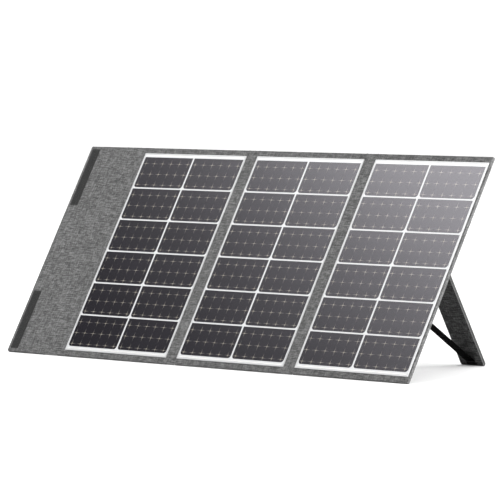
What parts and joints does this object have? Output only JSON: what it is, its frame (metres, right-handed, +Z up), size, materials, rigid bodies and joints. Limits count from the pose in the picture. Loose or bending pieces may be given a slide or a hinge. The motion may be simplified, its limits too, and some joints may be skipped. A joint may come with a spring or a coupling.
{
  "type": "folding solar panel",
  "caption": "Folding camping solar panel: framed fabric leaves of solar cells with a cover flap, standing tilted on plate stands with webbing straps.",
  "frame": {"origin": "on the ground, at the middle of the open panel's bounding box", "axes": "+X along the width to the right as seen from the front, +Y from the front to the back, +Z up"},
  "size_m": [1.2704, 0.477, 0.475],
  "materials": {
    "circuit_board": "solder mask",
    "socket_plastic": "black",
    "stiffener": "light fibre board",
    "grey_fabric": "woven heather grey",
    "touch_tape": "dark hook-and-loop tape",
    "backsheet": "white",
    "cell": "dark silicon",
    "encapsulant": "clear",
    "front_film": "clear satin",
    "box_plastic": "fine texture",
    "bright_metal": "nickel",
    "cover_rubber": "soft matte",
    "black_fabric": "woven black",
    "webbing": "woven black webbing",
    "zip_tape": "woven tape",
    "zip_teeth": "moulded"
  },
  "bodies": {
    "leaf_1": {"leaf_1_skin": "grey_fabric", "leaf_1_board": "stiffener", "leaf_1_backsheet": "backsheet", "leaf_1_encapsulant": "encapsulant", "leaf_1_cells": "cell", "leaf_1_front_film": "front_film", "stand_1_hinge_patch": "black_fabric", "stand_1_strap_patch": "webbing", "stand_1_strap": "webbing"},
    "outer_fold": {"outer_fold_strip": "grey_fabric"},
    "leaf_2": {"leaf_2_skin": "grey_fabric", "leaf_2_board": "stiffener", "leaf_2_backsheet": "backsheet", "leaf_2_encapsulant": "encapsulant", "leaf_2_cells": "cell", "leaf_2_front_film": "front_film", "loop_strip_top": "touch_tape", "loop_strip_bottom": "touch_tape", "inner_fold_strip": "grey_fabric"},
    "leaf_3": {"leaf_3_skin": "grey_fabric", "leaf_3_board": "stiffener", "leaf_3_backsheet": "backsheet", "leaf_3_encapsulant": "encapsulant", "leaf_3_cells": "cell", "leaf_3_front_film": "front_film", "stand_3_hinge_patch": "black_fabric", "stand_3_strap_patch": "webbing", "stand_3_strap": "webbing"},
    "flap_fold": {"flap_fold_strip": "grey_fabric"},
    "flap": {"flap_skin": "grey_fabric", "flap_board": "stiffener", "hook_strip_top": "touch_tape", "hook_strip_bottom": "touch_tape", "output_box_base": "box_plastic", "output_box_lid": "box_plastic", "output_box_screws": "bright_metal", "circuit_board": "circuit_board", "usb_sockets": "bright_metal", "dc_socket": "socket_plastic", "pocket_bag": "grey_fabric", "zip_tape": "zip_tape", "zip_teeth": "zip_teeth"},
    "stand_1": {"stand_1_skin": "black_fabric", "stand_1_board": "stiffener", "stand_1_strap_tab": "webbing"},
    "stand_3": {"stand_3_skin": "black_fabric", "stand_3_board": "stiffener", "stand_3_strap_tab": "webbing"},
    "port_cover": {"port_cover": "cover_rubber"},
    "zip_slider": {"zip_slider": "bright_metal"},
    "zip_pull": {"zip_pull": "bright_metal"}
  },
  "joints": [
    {"name": "outer_fold_near", "type": "hinge", "parent": "leaf_1", "child": "outer_fold", "pos_m": [-0.10405, -0.10274, 0.23935], "axis": [0, -0.5, -0.866], "range_deg": [0, 90]},
    {"name": "outer_fold_far", "type": "hinge", "parent": "outer_fold", "child": "leaf_2", "pos_m": [-0.07455, -0.10274, 0.23935], "axis": [0, -0.5, -0.866], "range_deg": [0, 90]},
    {"name": "inner_fold", "type": "hinge", "parent": "leaf_2", "child": "leaf_3", "pos_m": [0.2808, -0.10534, 0.24085], "axis": [0, -0.5, -0.866], "range_deg": [0, 180], "deforming": ["inner_fold_strip"]},
    {"name": "flap_fold_near", "type": "hinge", "parent": "leaf_1", "child": "flap_fold", "pos_m": [-0.46615, -0.10274, 0.23935], "axis": [0, 0.5, 0.866], "range_deg": [0, 90]},
    {"name": "flap_fold_far", "type": "hinge", "parent": "flap_fold", "child": "flap", "pos_m": [-0.50815, -0.10274, 0.23935], "axis": [0, 0.5, 0.866], "range_deg": [0, 90]},
    {"name": "stand_1_fold", "type": "hinge", "parent": "leaf_1", "child": "stand_1", "pos_m": [-0.28015, 0.00318, 0.3988], "axis": [-1, 0, 0], "range_deg": [0, 60], "deforming": ["stand_1_strap"]},
    {"name": "stand_3_fold", "type": "hinge", "parent": "leaf_3", "child": "stand_3", "pos_m": [0.39925, 0.00318, 0.3988], "axis": [-1, 0, 0], "range_deg": [0, 60], "deforming": ["stand_3_strap"]},
    {"name": "port_cover_hinge", "type": "hinge", "parent": "flap", "child": "port_cover", "pos_m": [-0.56415, -0.00803, 0.35759], "axis": [1, 0, 0], "range_deg": [0, 100]},
    {"name": "zip_slide", "type": "slide", "parent": "flap", "child": "zip_slider", "axis": [1, 0, 0], "range_m": [0, 0.065]},
    {"name": "zip_pull_swing", "type": "hinge", "parent": "zip_slider", "child": "zip_pull", "pos_m": [-0.60415, -0.04489, 0.27875], "axis": [1, 0, 0], "range_deg": [-25, 120]}
  ],
  "couplings": [
    {"joint": "outer_fold_far", "follows": "outer_fold_near", "ratio": 1},
    {"joint": "flap_fold_far", "follows": "flap_fold_near", "ratio": 1}
  ]
}
